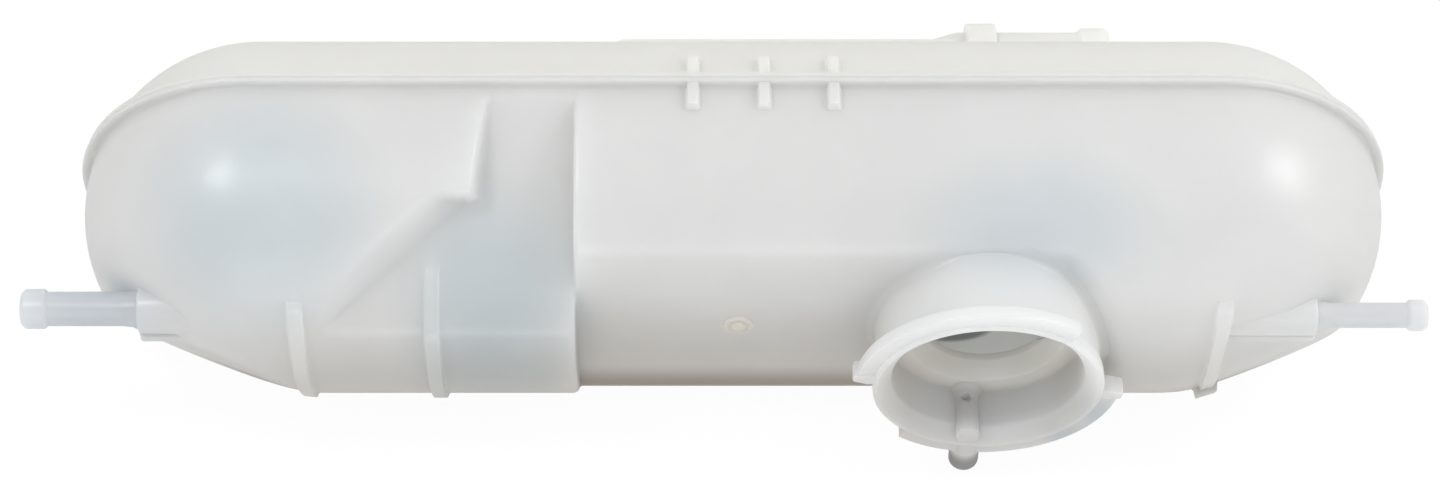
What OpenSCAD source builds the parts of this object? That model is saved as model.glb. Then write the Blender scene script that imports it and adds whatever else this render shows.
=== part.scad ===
// Coolant expansion tank of milky plastic, moulded in two halves that are welded at a flange.
// It lies on its flat back, which is the underside here. +X runs along the barrel,
// -Y points out of the filler neck and +Z points away from the flat back.
// The origin is the middle of the flat back. The barrel axis lies above it, parallel to X.

/* [Barrel] */
// Outer radius of the barrel and of its round ends
barrel_r = 47; // [44:0.5:52]
// Half the straight length between the round ends
straight_half = 126; // [118:1:150]
// Wall thickness of both halves
wall = 2.6; // [1.8:0.1:3.2]
// Weld plane, measured from the barrel axis away from the neck
weld_y = 12; // [6:0.5:16]
// Height of the barrel axis over the flat back
back_drop = 42; // [38:0.5:43.5]

/* [Crown around the neck] */
// Distance from the barrel axis to the shallow crown that carries the neck
crown_y = 36.2; // [33:0.2:38]
// Radius of the shallow crown's curve round the barrel
crown_r = 200; // [120:5:400]
// Where the shallow crown begins, and the side recess ends
crown_start_x = -41; // [-50:0.5:-30]
// Turn of the slope on which the shallow crown ends beside the neck
crown_end_turn = 45; // [30:1:60]
// Distance of that slope behind the middle of the barrel
crown_end_back = 37.8; // [34:0.2:42]

/* [Side recess] */
// Distance from the barrel axis to the floor of the side recess
recess_floor = 35.5; // [34:0.5:40]
// Angle of the recess floor, turned up from the crown
recess_rise = 58; // [50:1:62]
// Angle to which the sloping lower side of the recess turns along the barrel
recess_low_turn = 35.3; // [32:0.1:38]
// Rise of that lower side
recess_low_rise = 5.3; // [3:0.1:8]
// Distance of that lower side behind the middle of the barrel
recess_low_back = 24.2; // [22:0.2:27]
// Fall of the ledge that closes the lower side at its top
recess_ledge_fall = 22.6; // [16:0.2:30]
// Distance of that ledge from the barrel axis
recess_ledge = 2.8; // [1:0.2:6]
// Angle to which the steep upper side of the recess turns along the barrel
recess_high_turn = 80; // [70:0.5:86]
// Rise of that upper side
recess_high_rise = 28; // [20:0.5:36]
// Distance of that upper side behind the middle of the barrel
recess_high_back = 59.7; // [56:0.2:64]

/* [End facets] */
// Turn of the sloping facet under each round end
facet_turn = 21; // [16:0.5:26]
// Fall of the same facets towards the back
facet_fall = 25; // [18:0.5:32]
// Distance of the left facet from the middle of the barrel
facet_left = 85; // [83:0.5:92]
// Distance of the right facet from the middle of the barrel
facet_right = 87; // [83:0.5:92]
// Turn of the flat on the right crown
cheek_turn = 8; // [4:0.5:12]
// Fall of that flat towards the back
cheek_fall = 4.8; // [0:0.2:10]
// Distance of that flat from the middle of the barrel
cheek_far = 59.4; // [57:0.2:62]

/* [Weld flange] */
// How far the flange stands proud of the wall
flange_proud = 3; // [2:0.2:5]
// Thickness of the flange on each half
flange_t = 1.8; // [1.4:0.1:3]

/* [Filler neck] */
// Place of the neck along the barrel
neck_x = 66; // [60:0.5:67]
// Height of the neck axis over the barrel axis
neck_z = 4; // [0:0.5:6]
// Reach of the mouth from the barrel axis
neck_reach = 56; // [55:0.5:70]
// Outer diameter of the neck
neck_od = 58.5; // [56:0.5:59]
// Diameter of the mouth that the cap closes
mouth_d = 50; // [44:0.5:52]
// Outer diameter of the rim
rim_od = 60; // [58:0.5:64]
// Thickness of the rim along the neck
rim_t = 3.6; // [2:0.2:5]
// Depth over which the rim's face slopes in to the mouth
lip_depth = 3.6; // [1:0.2:4]
// Depth of the cap's seat below the rim
seat_depth = 14.6; // [12:0.2:15]
// Diameter at which the flat seat ends and slopes in to the throat
seat_d = 40; // [39:0.5:46]
// How far that slope falls
seat_fall = 4; // [1:0.2:4.4]
// Thickness of the seat ring
seat_t = 2.5; // [1.6:0.1:4]
// Diameter of the throat in the seat ring
throat_d = 32; // [24:0.5:38]
// Flare at the foot of the neck
foot_flare = 2; // [1:0.2:2.4]

/* [Cap ramps] */
// Outer diameter over the bayonet ramps
ramp_od = 68.8; // [64:0.2:69.4]
// Thickness of a ramp along the neck
ramp_t = 3.4; // [2:0.2:5]
// How far the ramps lie below the lugs' outer end
ramp_step = 0.4; // [0.2:0.1:1.2]
// Sweep of each ramp round the neck
ramp_sweep = 125; // [90:1:140]
// Radius to which the stop lugs reach
lug_r = 35.4; // [35:0.2:36.6]
// How far the lugs are turned down from the barrel's direction
lug_turn = 7; // [0:1:15]
// Width of a stop lug
lug_w = 4.4; // [3:0.2:6]
// Distance of the lugs below the rim's face
lug_depth = 0.4; // [0.3:0.1:2]
// Length of the stop lugs along the neck
lug_len = 5; // [4:0.2:6]

/* [Overflow] */
// Outer diameter of the overflow nipple
nipple_od = 8; // [6:0.2:8.4]
// Bore of the overflow nipple
nipple_bore = 4.4; // [3:0.2:5]
// Height of the nipple's tip over the flat back
nipple_clear = 1.5; // [0.5:0.5:8]
// Distance of the nipple axis below the rim's face
nipple_depth = 5; // [5:0.2:7]
// How much wider than the nipple the collar at its root is
collar_extra = 1.6; // [0.8:0.2:1.8]
// How far that collar shows under the ramp
collar_show = 1; // [1:0.2:4]
// Offset of the nipple from the neck axis along the barrel
nipple_shift = -4; // [-10:0.5:0]
// Radius of the half round boss inside the mouth
boss_r = 3.1; // [2.8:0.1:4]
// Radius of that boss where it spreads on the seat
boss_foot_r = 4.6; // [4:0.2:5]

/* [Left vent port] */
// Outer diameter of the left vent port
left_od = 9; // [8:0.2:11]
// Bore of the left vent port
left_bore = 5.4; // [4:0.2:6.6]
// Diameter of its bead
left_bead_od = 10.4; // [10.2:0.2:12]
// Length of its bead
left_bead_len = 6.7; // [4:0.1:8]
// Free length of the left vent port
left_len = 31.3; // [24:0.5:40]
// Distance of its axis from the barrel axis towards the crown
left_y = 36.2; // [32:0.2:38]
// Height of its axis over the barrel axis
left_z = 11.6; // [6:0.2:14]

/* [Right vent port] */
// Outer diameter of the right vent port
right_od = 6.6; // [6:0.2:8]
// Bore of the right vent port
right_bore = 3.8; // [3:0.2:5]
// Diameter of its bead
right_bead_od = 8.2; // [8:0.2:10]
// Length of its bead
right_bead_len = 5.4; // [4:0.1:7]
// Free length of the right vent port
right_len = 29.7; // [24:0.5:40]
// Distance of its axis from the barrel axis towards the crown
right_y = 38.4; // [34:0.2:39]
// Height of its axis over the barrel axis
right_z = 12; // [6:0.2:14]

/* [Port roots] */
// How much wider the root boss is than its port
root_extra = 4; // [2:0.5:6]
// Length of the root boss outside the wall
root_len = 0.8; // [0.4:0.2:4]
// Thickness of the gusset that joins the root boss to the crown
gusset_t = 2.4; // [1.6:0.2:4]

/* [Ribs and marks] */
// Width of the ribs across the crown
rib_w = 4; // [3:0.2:6]
// Height of the ribs over the wall
rib_h = 1.5; // [1:0.1:2.5]
// Highest point of the crown ribs over the barrel axis
rib_top = 23; // [16:1:30]
// Lowest point of the crown ribs under the barrel axis
rib_bottom = 27; // [18:1:30]
// Width of the foot of the last crown rib
foot_w = 6; // [4:0.5:9]
// Height of that foot over the wall
foot_h = 3.2; // [2:0.1:4]
// Length of that foot
foot_len = 5; // [3:0.5:8]
// Width of the short ribs across the weld
strap_w = 3.2; // [2.4:0.2:5]
// Height of the short ribs over the wall
strap_h = 2.4; // [1.6:0.1:3]
// Reach of the short ribs on each side of the weld
strap_reach = 10; // [7:0.5:12]
// Diameter of the round injection mark on the crown flat
gate_d = 7.6; // [5:0.2:10]
// Height of the injection mark
gate_h = 0.7; // [0.5:0.1:1.5]
// Diameter of the stub in the middle of the injection mark
gate_stub_d = 3.2; // [2:0.2:4]
// Place of the injection mark along the barrel
gate_x = 1.3; // [-10:0.1:10]

/* [Sump and outlet] */
// Where the sump begins along the barrel
sump_start_x = -34; // [-36:0.5:-20]
// Where the sump ends along the barrel
sump_end_x = 65; // [60:0.5:80]
// How far the sump stands out behind the barrel
sump_depth = 15.7; // [14.4:0.1:18.4]
// Top of the sump, measured from the barrel axis
sump_top = -2.7; // [-4:0.1:0]
// Height of the sump
sump_h = 22; // [18:0.5:24]
// Corner radius of the sump
sump_corner_r = 4; // [3:0.5:6]
// Outer diameter of the outlet
outlet_od = 19; // [17:0.2:20]
// Bore of the outlet
outlet_bore = 15; // [12:0.2:15.6]
// Diameter of the outlet's bead
outlet_bead_od = 21.4; // [20.6:0.2:24]
// Length of the outlet's bead
outlet_bead_len = 9; // [5:0.2:10]
// Free length of the outlet beyond the sump
outlet_len = 40; // [34:0.5:60]
// Distance of the outlet axis in front of the sump's back
outlet_inset = 2.8; // [2.6:0.1:3.4]
// Height of the outlet axis, below the barrel axis when negative
outlet_z = -14.2; // [-16:0.1:-13]
// Outer diameter of the collar where the outlet leaves the sump
collar_od = 24; // [22:0.5:26]
// Length of that collar
collar_len = 8.4; // [5:0.2:12]
// Length of the cone that eases the outlet into the sump
cone_len = 16; // [10:0.5:24]

/* [Hidden] */
plastic_upper = [0.87, 0.88, 0.88];
plastic_lower = [0.89, 0.89, 0.85];
round_fn = 96;
// Size of the blocks that stand for all that lies beyond a plane
far = 420;
// Depth by which a cut runs past the face that it opens
past = 1;
crown_rib_xs = [-113, -78, 126.5];
foot_x = crown_rib_xs[2];
strap_xs = [-10.5, 8, 26];
// Lowest point of the short ribs over the barrel axis
strap_bottom = 34;
// How far the neck reaches into the wall at the middle of the crown, past the crown's curve
neck_sink = crown_r - sqrt(crown_r * crown_r - neck_od * neck_od / 4) + wall / 2;
seat_y = neck_reach - seat_depth;
mouth_r = mouth_d / 2;
neck_r = neck_od / 2;
skirt_r = neck_r - wall;
lug_y = neck_reach - lug_depth;
bead_chamfer = 1;
sump_reach = barrel_r + sump_depth;
outlet_y = sump_reach - outlet_inset;
sump_cavity_end = sump_end_x - wall;

// Direction that starts at the crown, turns along the barrel and then rises round it
function facing(turn, rise) =
    [sin(turn), -cos(turn) * cos(rise), cos(turn) * sin(rise)];

// Distance along the barrel at which a line beside the axis leaves the round end
function end_x(y, z) = straight_half + sqrt(barrel_r * barrel_r - y * y - z * z);

// All that lies further out than dist in the given direction
module beyond(direction, dist) {
    rotate([0, acos(direction[2]), atan2(direction[1], direction[0])])
        translate([-far, -far, dist])
            cube([2 * far, 2 * far, far]);
}

// Barrel with round ends, revolved about X
module capsule(r) {
    rotate([0, 90, 0])
        rotate_extrude($fn = round_fn)
            intersection() {
                union() {
                    translate([0, -straight_half])
                        square([r, 2 * straight_half]);
                    for (side = [-1, 1])
                        translate([0, side * straight_half])
                            circle(r = r, $fn = round_fn);
                }
                translate([0, -far])
                    square([far, 2 * far]);
            }
}

// What the shallow crown takes off the barrel
module crown_cut(grow) {
    intersection() {
        difference() {
            beyond(facing(0, 0), 0);
            translate([-far, crown_r - crown_y, 0])
                rotate([0, 90, 0])
                    cylinder(h = 2 * far, r = crown_r + grow, $fn = round_fn);
        }
        beyond([1, 0, 0], crown_start_x + grow);
        beyond(facing(-crown_end_turn, 0), grow - crown_end_back);
    }
}

// What the side recess takes off the barrel
module recess_cut(grow) {
    intersection() {
        beyond(facing(0, recess_rise), recess_floor + grow);
        beyond([-1, 0, 0], grow - crown_start_x);
        union() {
            intersection() {
                beyond(facing(recess_low_turn, recess_low_rise), grow - recess_low_back);
                beyond(facing(0, -recess_ledge_fall), grow + recess_ledge);
            }
            beyond(facing(recess_high_turn, recess_high_rise), grow - recess_high_back);
        }
    }
}

// The tank's form, grown outwards by grow, or shrunk where grow is negative.
// The flat back only shrinks, so that nothing reaches under it.
module tank_form(grow) {
    difference() {
        capsule(barrel_r + grow);
        beyond([0, 0, -1], back_drop + min(grow, 0));
        crown_cut(grow);
        recess_cut(grow);
        beyond(facing(-facet_turn, -facet_fall), facet_left + grow);
        beyond(facing(facet_turn, -facet_fall), facet_right + grow);
        beyond(facing(cheek_turn, -cheek_fall), cheek_far + grow);
    }
}

// A slice of the grown form between two places along the barrel
module form_slice(grow, x_mid, width, y_from, y_to, z_from, z_to) {
    intersection() {
        tank_form(grow);
        translate([x_mid - width / 2, y_from, z_from])
            cube([width, y_to - y_from, z_to - z_from]);
    }
}

// The ring of the weld flange on one side of the weld plane
module flange(y_from) {
    intersection() {
        tank_form(flange_proud);
        translate([-far, y_from, -far])
            cube([2 * far, flange_t, 2 * far]);
    }
}

// Hose stub along X with a bead at its tip, solid from the inside of the wall
module stub(root_x, tip_x, od, bead_od, bead_len) {
    bead_x = tip_x - bead_len;
    rise = (bead_od - od) / 2;
    rotate([90, 0, 90])
        rotate_extrude($fn = round_fn)
            polygon([
                [0, root_x], [od / 2, root_x], [od / 2, bead_x], [bead_od / 2, bead_x + rise],
                [bead_od / 2, tip_x - bead_chamfer], [bead_od / 2 - bead_chamfer, tip_x], [0, tip_x]
            ]);
}

// Round bar along X
module bar_x(x_from, x_to, d) {
    translate([x_from, 0, 0])
        rotate([0, 90, 0])
            cylinder(h = x_to - x_from, d = d, $fn = round_fn);
}

// Vent port on the +X end with its root boss and gusset
module vent_port(y, z, od, bead_od, bead_len, free_len) {
    wall_x = end_x(y, z);
    root_d = od + root_extra;
    translate([0, -y, z]) {
        stub(straight_half, wall_x + free_len, od, bead_od, bead_len);
        bar_x(straight_half, wall_x + root_len, root_d);
    }
    translate([straight_half, -y, z - root_d / 2])
        cube([wall_x + root_len - straight_half, root_d / 2 + past, gusset_t]);
}

// Bore of a vent port on the +X end
module vent_bore(y, z, bore, free_len) {
    translate([0, -y, z])
        bar_x(straight_half, end_x(y, z) + free_len + past, bore);
}

module at_neck() {
    translate([neck_x, 0, neck_z])
        rotate([90, 0, 0])
            children();
}

// Outside of the filler neck, from the wall to the rim
module neck_outside() {
    rim_r = rim_od / 2;
    rim_slope = rim_r - neck_r;
    rim_edge = 0.6;
    at_neck()
        rotate_extrude($fn = round_fn)
            polygon([
                [0, crown_y - neck_sink], [neck_r + foot_flare, crown_y - neck_sink],
                [neck_r + foot_flare, crown_y - foot_flare], [neck_r, crown_y],
                [neck_r, neck_reach - rim_t - rim_slope], [rim_r, neck_reach - rim_t],
                [rim_r, neck_reach - rim_edge], [rim_r - rim_edge, neck_reach], [0, neck_reach]
            ]);
}

// Space inside the filler neck: skirt, throat, mouth above the sloping seat, and the rim's sloping face
module neck_inside() {
    throat_r = throat_d / 2;
    rim_flat = 1.2;
    lip_r = rim_od / 2 - rim_flat;
    throat_y = seat_y - seat_fall;
    at_neck()
        rotate_extrude($fn = round_fn)
            polygon([
                [0, crown_y - neck_sink - wall], [skirt_r, crown_y - neck_sink - wall],
                [skirt_r, seat_y - seat_t], [seat_d / 2, seat_y - seat_t], [throat_r, throat_y - seat_t],
                [throat_r, throat_y], [seat_d / 2, seat_y], [mouth_r, seat_y],
                [mouth_r, neck_reach - lip_depth], [lip_r, neck_reach], [lip_r, neck_reach + past],
                [0, neck_reach + past]
            ]);
}

// Sector of a ring round the neck, from one angle through a sweep
module neck_sector(start, sweep, r_out, y_from, length) {
    at_neck()
        rotate([0, 0, start])
            rotate_extrude(angle = sweep, $fn = round_fn)
                translate([neck_r - past, y_from])
                    square([r_out - neck_r + past, length]);
}

// Two opposite ramps that take the cap's bayonet, each with a stop lug at its start
module cap_ramps() {
    lug_angle = 2 * asin(lug_w / 2 / lug_r);
    for (start = [-lug_turn, 180 - lug_turn]) {
        neck_sector(start - lug_angle / 2, lug_angle, lug_r, lug_y - lug_len, lug_len);
        neck_sector(start - ramp_sweep, ramp_sweep, ramp_od / 2, lug_y - ramp_step - ramp_t, ramp_t);
    }
}

// Half round boss that leads the overflow down inside the mouth and spreads where it stands on the seat
module overflow_boss() {
    boss_z = neck_z - sqrt(mouth_r * mouth_r - nipple_shift * nipple_shift);
    sink = 1;
    spread_h = 6;
    spread_sink = 0.5;
    intersection() {
        translate([neck_x + nipple_shift, sink - seat_y, boss_z])
            rotate([90, 0, 0]) {
                linear_extrude(height = seat_depth) {
                    circle(r = boss_r, $fn = round_fn);
                    translate([-boss_r, -mouth_r])
                        square([2 * boss_r, mouth_r]);
                }
                cylinder(h = spread_h, r1 = boss_foot_r, r2 = boss_r - spread_sink, $fn = round_fn);
            }
        at_neck()
            cylinder(h = far, r = neck_r - wall / 4, $fn = round_fn);
    }
}

// Round injection mark on the crown, with the stub where the plastic was fed
module gate_mark() {
    stub_h = 0.5;
    translate([gate_x, 0, neck_z])
        rotate([90, 0, 0]) {
            cylinder(h = crown_y + gate_h, d = gate_d, $fn = round_fn);
            cylinder(h = crown_y + gate_h + stub_h, d = gate_stub_d, $fn = round_fn);
        }
}

// Bar along the overflow nipple, from inside the neck to a height over the flat back
module nipple_bar(z_from, z_to, d) {
    translate([neck_x + nipple_shift, nipple_depth - neck_reach, z_from])
        cylinder(h = z_to - z_from, d = d, $fn = round_fn);
}

// Deep half that carries the neck, the overflow and both vent ports
module upper_half() {
    nipple_tip_z = nipple_clear - back_drop;
    nipple_root_z = neck_z - mouth_r / 2;
    collar_z = neck_z - ramp_od / 2 - collar_show;
    color(plastic_upper)
        translate([0, 0, back_drop])
            difference() {
                union() {
                    difference() {
                        union() {
                            tank_form(0);
                            flange(weld_y - flange_t);
                            for (x = crown_rib_xs)
                                form_slice(rib_h, x, rib_w, -far, 0, -rib_bottom, rib_top);
                            form_slice(foot_h, foot_x, foot_w, -far, 0, -rib_bottom, foot_len - rib_bottom);
                            for (x = strap_xs)
                                form_slice(strap_h, x, strap_w, weld_y - strap_reach, weld_y, strap_bottom, far);
                            vent_port(right_y, right_z, right_od, right_bead_od, right_bead_len, right_len);
                            mirror([1, 0, 0])
                                vent_port(left_y, left_z, left_od, left_bead_od, left_bead_len, left_len);
                            neck_outside();
                            cap_ramps();
                            gate_mark();
                            nipple_bar(nipple_tip_z, nipple_root_z, nipple_od);
                            nipple_bar(collar_z, nipple_root_z, nipple_od + collar_extra);
                        }
                        tank_form(-wall);
                        neck_inside();
                    }
                    overflow_boss();
                }
                vent_bore(right_y, right_z, right_bore, right_len);
                mirror([1, 0, 0])
                    vent_bore(left_y, left_z, left_bore, left_len);
                nipple_bar(nipple_tip_z - past, neck_z, nipple_bore);
                translate([-far, weld_y, -far])
                    cube([2 * far, far, 2 * far]);
            }
}

// Rectangle with round corners, from its low corner
module round_rect(width, height, r) {
    translate([0, r])
        square([width, height - 2 * r]);
    translate([r, 0])
        square([width - 2 * r, height]);
    for (x = [r, width - r], y = [r, height - r])
        translate([x, y])
            circle(r = r, $fn = round_fn);
}

// Block of the sump, shrunk by inset on every outer side
module sump_block(inset) {
    length = sump_end_x - sump_start_x - 2 * inset;
    translate([sump_start_x + inset, 0, sump_top - sump_h + inset])
        rotate([90, 0, 90])
            linear_extrude(height = length)
                round_rect(sump_reach - inset, sump_h - 2 * inset, sump_corner_r - inset / 2);
}

// Outlet with its cone, collar and bead
module outlet_outside() {
    cone_start = sump_cavity_end - cone_len;
    translate([0, outlet_y, outlet_z]) {
        translate([cone_start, 0, 0])
            rotate([0, 90, 0])
                cylinder(h = cone_len, d1 = outlet_od / 2, d2 = outlet_od, $fn = round_fn);
        stub(sump_cavity_end, sump_end_x + outlet_len, outlet_od, outlet_bead_od, outlet_bead_len);
        bar_x(sump_end_x, sump_end_x + collar_len, collar_od);
    }
}

// Shallow half that carries the sump and the outlet
module lower_half() {
    color(plastic_lower)
        translate([0, 0, back_drop])
            difference() {
                union() {
                    tank_form(0);
                    flange(weld_y);
                    for (x = strap_xs)
                        form_slice(strap_h, x, strap_w, weld_y, weld_y + strap_reach, strap_bottom, far);
                    sump_block(0);
                    outlet_outside();
                }
                tank_form(-wall);
                sump_block(wall);
                translate([0, outlet_y, outlet_z])
                    bar_x(sump_cavity_end - past, sump_end_x + outlet_len + past, outlet_bore);
                translate([-far, weld_y - far, -far])
                    cube([2 * far, far, 2 * far]);
            }
}

upper_half();
lower_half();
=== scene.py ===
"""Looks of a coolant expansion tank of milky plastic, moulded in two halves that are welded at a flange.

Lengths in this file are millimetres in the barrel's own frame: X runs along the barrel, -Y points out of
the filler neck, +Z points away from the flat back, and the origin is the middle of the barrel's axis.
`to_frame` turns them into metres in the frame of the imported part, whose origin is on the flat back.
"""

from __future__ import annotations

import logging
import math
from dataclasses import dataclass, field
from enum import Enum

import bmesh
import bpy
import numpy as np
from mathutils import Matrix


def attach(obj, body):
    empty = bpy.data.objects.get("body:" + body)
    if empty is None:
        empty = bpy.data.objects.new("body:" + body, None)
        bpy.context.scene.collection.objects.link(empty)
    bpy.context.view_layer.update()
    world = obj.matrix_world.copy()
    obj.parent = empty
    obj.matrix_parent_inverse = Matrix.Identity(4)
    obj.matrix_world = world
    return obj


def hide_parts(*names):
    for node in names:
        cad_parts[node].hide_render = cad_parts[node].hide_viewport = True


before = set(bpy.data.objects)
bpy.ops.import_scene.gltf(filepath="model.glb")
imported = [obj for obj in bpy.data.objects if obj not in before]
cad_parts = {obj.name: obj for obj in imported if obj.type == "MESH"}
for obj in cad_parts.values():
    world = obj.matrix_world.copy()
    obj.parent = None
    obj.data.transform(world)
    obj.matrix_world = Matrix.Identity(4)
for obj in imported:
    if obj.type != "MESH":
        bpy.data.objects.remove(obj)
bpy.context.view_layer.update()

logging.basicConfig(level=logging.INFO, format="%(message)s")
LOG = logging.getLogger("coolant_tank")

Array = np.ndarray
Triple = tuple[float, float, float]
Given = bpy.types.NodeOutputs

MM = 0.001
TINY = 1e-9
MERGE_M = 2e-7  # Corners of a mesh that are nearer than this become one.
LEG_SHARE = 0.49  # The rounding of a corner takes at most this share of each leg of a profile.
PAST = 2.0  # A cutting solid stands this far past the surface that it opens.


def smooth_max(a: Array, b: Array, width: float) -> Array:
    """The larger of two fields, with the corner between them rounded.

    Adds a parabola where the fields differ by less than the width: (width - |a - b|)^2 / (4 width).

    Args:
        a: First field.
        b: Second field.
        width: Width of the rounding, in the fields' own units.

    Returns:
        The blended field.
    """
    overlap = np.maximum(width - np.abs(a - b), 0.0)
    return np.maximum(a, b) + overlap**2 / (4 * width)


def smooth_min(a: Array, b: Array, width: float) -> Array:
    """The smaller of two fields, with the corner between them rounded, as the mirror of `smooth_max`."""
    return -smooth_max(-a, -b, width)


def ease(t: Array) -> Array:
    """Rise from 0 to 1 with level ends: 3 t^2 - 2 t^3 on t held between 0 and 1."""
    held = np.clip(t, 0.0, 1.0)
    return held * held * (3 - 2 * held)


def arc(centre: tuple[float, float], radius: float, start: float, stop: float, steps: int) -> Array:
    """Points on an arc of a circle in a profile's plane.

    Args:
        centre: Middle of the circle.
        radius: Its radius.
        start: First angle in degrees, from the first axis towards the second.
        stop: Last angle in degrees.
        steps: Number of points.

    Returns:
        An array of shape (steps, 2).
    """
    angle = np.radians(np.linspace(start, stop, steps))
    return np.array(centre) + radius * np.stack([np.cos(angle), np.sin(angle)], axis=1)


def rounded(corners: list[Triple], steps: int = 5) -> Array:
    """An open profile through corners, each rounded by its own radius.

    At a corner between two legs the curve is the quadratic one that leaves the first leg and meets the
    second at radius / tan(half the angle between the legs) from the corner.

    Args:
        corners: (first, second, radius) of each corner; radius 0 keeps it sharp.
        steps: Points on each rounded corner.

    Returns:
        The profile's points, shape (n, 2).
    """
    places = np.array([corner[:2] for corner in corners], float)
    points = [places[:1]]
    for index in range(1, len(corners) - 1):
        corner, radius = places[index], corners[index][2]
        if radius <= 0:
            points.append(corner[None])
            continue
        before, after = places[index - 1] - corner, places[index + 1] - corner
        before_length, after_length = np.linalg.norm(before), np.linalg.norm(after)
        before, after = before / before_length, after / after_length
        half = math.acos(float(np.clip(before @ after, -1, 1))) / 2
        most = LEG_SHARE * min(before_length, after_length)
        back = min(radius / max(math.tan(half), TINY), most)
        t = np.linspace(0, 1, steps)[:, None]
        start, stop = corner + back * before, corner + back * after
        points.append((1 - t) ** 2 * start + 2 * t * (1 - t) * corner + t**2 * stop)
    points.append(places[-1:])
    return np.concatenate(points)


def rod(radius: float, start: float, stop: float) -> Array:
    """Profile (radius, height) of a plain rod between two heights."""
    return np.array([(0.0, start), (radius, start), (radius, stop), (0.0, stop)])


def passage(radius: float, start: float, mouth: float, bevel: float) -> Array:
    """Profile of the hole in a tube, with a bevel at its mouth, cut past the mouth.

    Args:
        radius: Radius of the hole.
        start: Height at which it starts.
        mouth: Height of its mouth.
        bevel: Width and depth of the bevel.

    Returns:
        Points (radius, height).
    """
    wide = radius + bevel
    inner = [(0.0, start), (radius, start), (radius, mouth - bevel)]
    return np.array([*inner, (wide, mouth), (wide, mouth + PAST), (0.0, mouth + PAST)])


def beaded_end(tube_r: float, bead_r: float, bead_len: float, tip: float) -> list[Triple]:
    """Corners of a hose tube's end: a slope of 45 degrees up to the bead, the bead, and a round tip.

    Args:
        tube_r: Radius of the tube.
        bead_r: Radius of the bead.
        bead_len: Length from the foot of the slope to the tip.
        tip: Height of the tip.

    Returns:
        (radius, height, rounding) of each corner, for `rounded`.
    """
    foot, taper = tip - bead_len, 1.0
    slope = [(tube_r, foot, 0.3), (bead_r, foot + bead_r - tube_r, 0.6)]
    return [*slope, (bead_r, tip - taper, 0.8), (bead_r - taper, tip, 0.5), (0.0, tip, 0)]


def to_frame(points: Array, back_drop: float) -> Array:
    """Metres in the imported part's frame for millimetres in the barrel's frame."""
    return (points + np.array([0.0, 0.0, back_drop])) * MM


@dataclass
class Mesh:
    """A mesh in the making: corner places, and faces as lists of corner numbers."""

    points: Array
    faces: list[list[int]]

    def to_object(self, name: str, back_drop: float) -> bpy.types.Object:
        """Makes a Blender object with its place in its mesh, closed along its seams, faces outwards.

        Args:
            name: Name of the object and its mesh.
            back_drop: Depth of the flat back under the barrel's axis.

        Returns:
            The object, in the scene.
        """
        data = bpy.data.meshes.new(name)
        data.from_pydata(to_frame(self.points, back_drop).tolist(), [], self.faces)
        work = bmesh.new()
        work.from_mesh(data)
        bmesh.ops.remove_doubles(work, verts=work.verts, dist=MERGE_M)
        bmesh.ops.recalc_face_normals(work, faces=work.faces)
        work.to_mesh(data)
        work.free()
        thing = bpy.data.objects.new(name, data)
        bpy.context.scene.collection.objects.link(thing)
        return thing


def grid_faces(rows: int, columns: int) -> Array:
    """Quads between rings of points that are stored ring by ring; each ring closes on itself.

    Args:
        rows: Number of rings.
        columns: Number of points in a ring.

    Returns:
        Corner numbers, shape (faces, 4).
    """
    here = np.arange(columns)
    beside = (here + 1) % columns
    row = np.arange(rows - 1)[:, None] * columns
    quads = np.stack([row + here, row + beside, row + columns + beside, row + columns + here], axis=-1)
    return quads.reshape(-1, 4)


def loft(rings: Array, last_cap: bool = True) -> Mesh:
    """A closed solid from rings of equal point counts, with a flat cap on each end ring.

    Args:
        rings: Places, shape (rings, points, 3). A ring drawn together in one point makes a pole.
        last_cap: False where the last ring lies folded on a line and so needs no cap.

    Returns:
        The mesh.
    """
    count, columns, _ = rings.shape
    faces = grid_faces(count, columns).tolist()
    faces.append(list(range(columns)))
    if last_cap:
        last = (count - 1) * columns
        faces.append(list(range(last + columns - 1, last - 1, -1)))
    return Mesh(rings.reshape(-1, 3), faces)


class Axis(Enum):
    """Directions about which turned pieces of the tank are made: along, first and second side."""

    ALONG = ((1, 0, 0), (0, 1, 0), (0, 0, 1))
    OUT_OF_NECK = ((0, -1, 0), (1, 0, 0), (0, 0, 1))
    DOWN = ((0, 0, -1), (1, 0, 0), (0, 1, 0))


def turned(profile: Array, origin: Triple, axis: Axis, columns: int) -> Mesh:
    """A solid of revolution: each profile point (radius, height) becomes a ring about the axis.

    Args:
        profile: Points (radius, height), from one end of the axis to the other.
        origin: Where height is 0 on the axis.
        axis: The axis and its two side directions.
        columns: Points in a ring.

    Returns:
        The closed mesh.
    """
    along, side, other = (np.array(v, float) for v in axis.value)
    angle = np.linspace(0, 2 * math.pi, columns, endpoint=False)
    around = np.cos(angle)[:, None] * side + np.sin(angle)[:, None] * other
    rings = profile[:, 0, None, None] * around + profile[:, 1, None, None] * along
    return loft(np.array(origin, float) + rings)


@dataclass(frozen=True)
class Cut:
    """A flat cut on the tank: it takes off all that lies further out than a distance in a direction.

    The direction starts at the crown, turns along the barrel, then rises round it, both in degrees.
    """

    turn: float
    rise: float
    distance: float

    def beyond(self, points: Array, grow: float) -> Array:
        """How far points lie beyond the cut: their share along its direction less its distance.

        Args:
            points: Places, shape (..., 3).
            grow: Growth of the form, which moves the cut outwards.

        Returns:
            The field, positive where the cut takes material off.
        """
        turn, rise = math.radians(self.turn), math.radians(self.rise)
        level = math.cos(turn)
        facing = np.array([math.sin(turn), -level * math.cos(rise), level * math.sin(rise)])
        return points @ facing - (self.distance + grow)


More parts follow.
